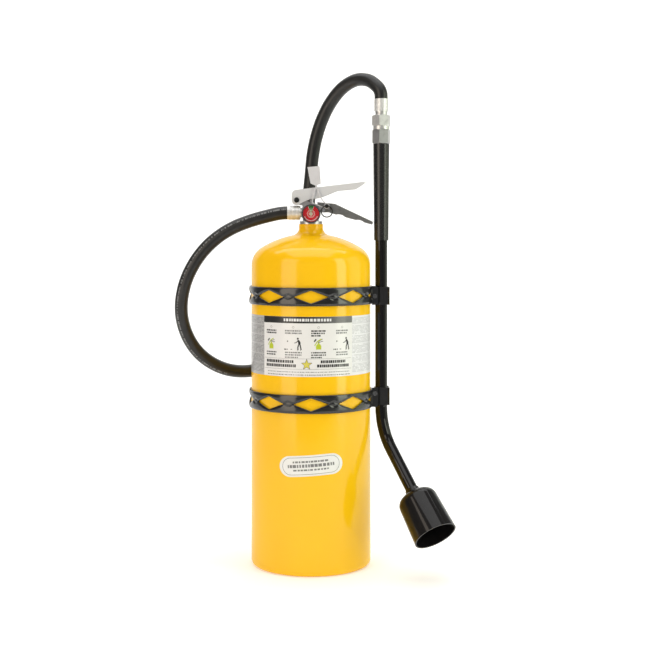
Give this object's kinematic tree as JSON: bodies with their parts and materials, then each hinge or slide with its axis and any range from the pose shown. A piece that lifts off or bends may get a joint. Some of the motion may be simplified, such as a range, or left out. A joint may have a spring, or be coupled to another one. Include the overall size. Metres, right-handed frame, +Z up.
{
  "type": "portable fire extinguisher",
  "caption": "Tall round cylinder with a squeeze valve, pressure gauge, looped hose and a long bent wand ending in a cup, held beside it in clips.",
  "frame": {"origin": "centre of the cylinder's base, on the floor", "axes": "+Z up along the cylinder, -Y to the front (gauge and label), +X to the wand"},
  "size_m": [0.4678, 0.2852, 0.8392],
  "materials": {
    "yellow_enamel": "gloss enamel",
    "powder": "fine dry powder",
    "plated_steel": "bright plated",
    "label": "printed film",
    "badge": "printed film",
    "valve_alloy": "plated casting",
    "seal_rubber": "matt",
    "spring_steel": "drawn wire",
    "lever_steel": "bright nickel",
    "handle_steel": "dark plated",
    "seal_plastic": "moulded",
    "bourdon_brass": "drawn",
    "dial_face": "printed",
    "needle_brass": "pale",
    "gauge_lens": "clear",
    "coupling_steel": "zinc plated",
    "ferrule_steel": "zinc plated, crimped",
    "hose_rubber": "fabric-marked cover",
    "adapter_steel": "cast, plated",
    "wand_enamel": "gloss black enamel",
    "sleeve_plastic": "satin moulded",
    "cup_plastic": "gloss black enamel",
    "band_enamel": "satin black enamel",
    "screw_steel": "zinc plated"
  },
  "bodies": {
    "cylinder": {"cylinder_shell": "yellow_enamel", "neck_collar": "yellow_enamel", "powder_charge": "powder", "siphon_tube": "plated_steel", "instruction_label": "label", "badge_label": "badge", "valve_body": "valve_alloy", "neck_o_ring": "seal_rubber", "spring_retainer": "valve_alloy", "valve_spring": "spring_steel", "lever_pivot_pin": "plated_steel", "carry_handle": "handle_steel", "handle_rivets": "plated_steel", "gauge_case": "plated_steel", "bourdon_tube": "bourdon_brass", "gauge_dial": "dial_face", "gauge_lens": "gauge_lens", "gauge_bezel": "plated_steel", "outlet_fitting": "coupling_steel", "valve_ferrule": "ferrule_steel", "hose": "hose_rubber", "upper_band": "band_enamel", "lower_band": "band_enamel", "upper_clip": "band_enamel", "lower_clip": "band_enamel", "clamp_screws": "screw_steel", "clamp_nuts": "screw_steel"},
    "lever": {"operating_lever": "lever_steel"},
    "stem": {"valve_stem": "valve_alloy", "stem_seat": "seal_rubber", "stem_o_ring": "seal_rubber"},
    "pin": {"pull_pin": "plated_steel", "tamper_seal": "seal_plastic"},
    "ring": {"pull_ring": "plated_steel"},
    "needle": {"gauge_needle": "needle_brass"},
    "hose_end": {"wand_ferrule": "ferrule_steel", "hose_nipple": "coupling_steel", "swivel_nut": "coupling_steel"},
    "wand": {"wand_adapter": "adapter_steel", "wand_tube": "wand_enamel", "grip_sleeve": "sleeve_plastic", "cup_collar": "cup_plastic", "nozzle_cup": "cup_plastic"}
  },
  "joints": [
    {"name": "lever_squeeze", "type": "hinge", "parent": "cylinder", "child": "lever", "pos_m": [-0.0245, 0, 0.618], "axis": [0, 1, 0], "range_deg": [0, 10], "stiffness_Nm_per_rad": 3, "springref_deg": -17.19},
    {"name": "stem_press", "type": "slide", "parent": "cylinder", "child": "stem", "axis": [0, 0, -1], "range_m": [0, 0.0044], "deforming": ["valve_spring"]},
    {"name": "pin_pull", "type": "slide", "parent": "cylinder", "child": "pin", "axis": [0, -1, 0], "range_m": [0, 0.045]},
    {"name": "ring_swing", "type": "hinge", "parent": "pin", "child": "ring", "pos_m": [0.0268, -0.0165, 0.6075], "axis": [-1, 0, 0], "range_deg": [-3, 100]},
    {"name": "needle_turn", "type": "hinge", "parent": "cylinder", "child": "needle", "pos_m": [0, -0.0385, 0.594], "axis": [0, 1, 0], "range_deg": [-120, 120], "stiffness_Nm_per_rad": 0.002},
    {"name": "wand_unclip", "type": "slide", "parent": "cylinder", "child": "hose_end", "axis": [1, 0, 0], "range_m": [0, 0.045]},
    {"name": "wand_swivel", "type": "hinge", "parent": "hose_end", "child": "wand", "pos_m": [0.12, 0, 0.738], "axis": [0, 0, 1], "range_deg": [-30, 140]}
  ],
  "couplings": [
    {"joint": "stem_press", "follows": "lever_squeeze", "m_per_rad": 0.025}
  ]
}
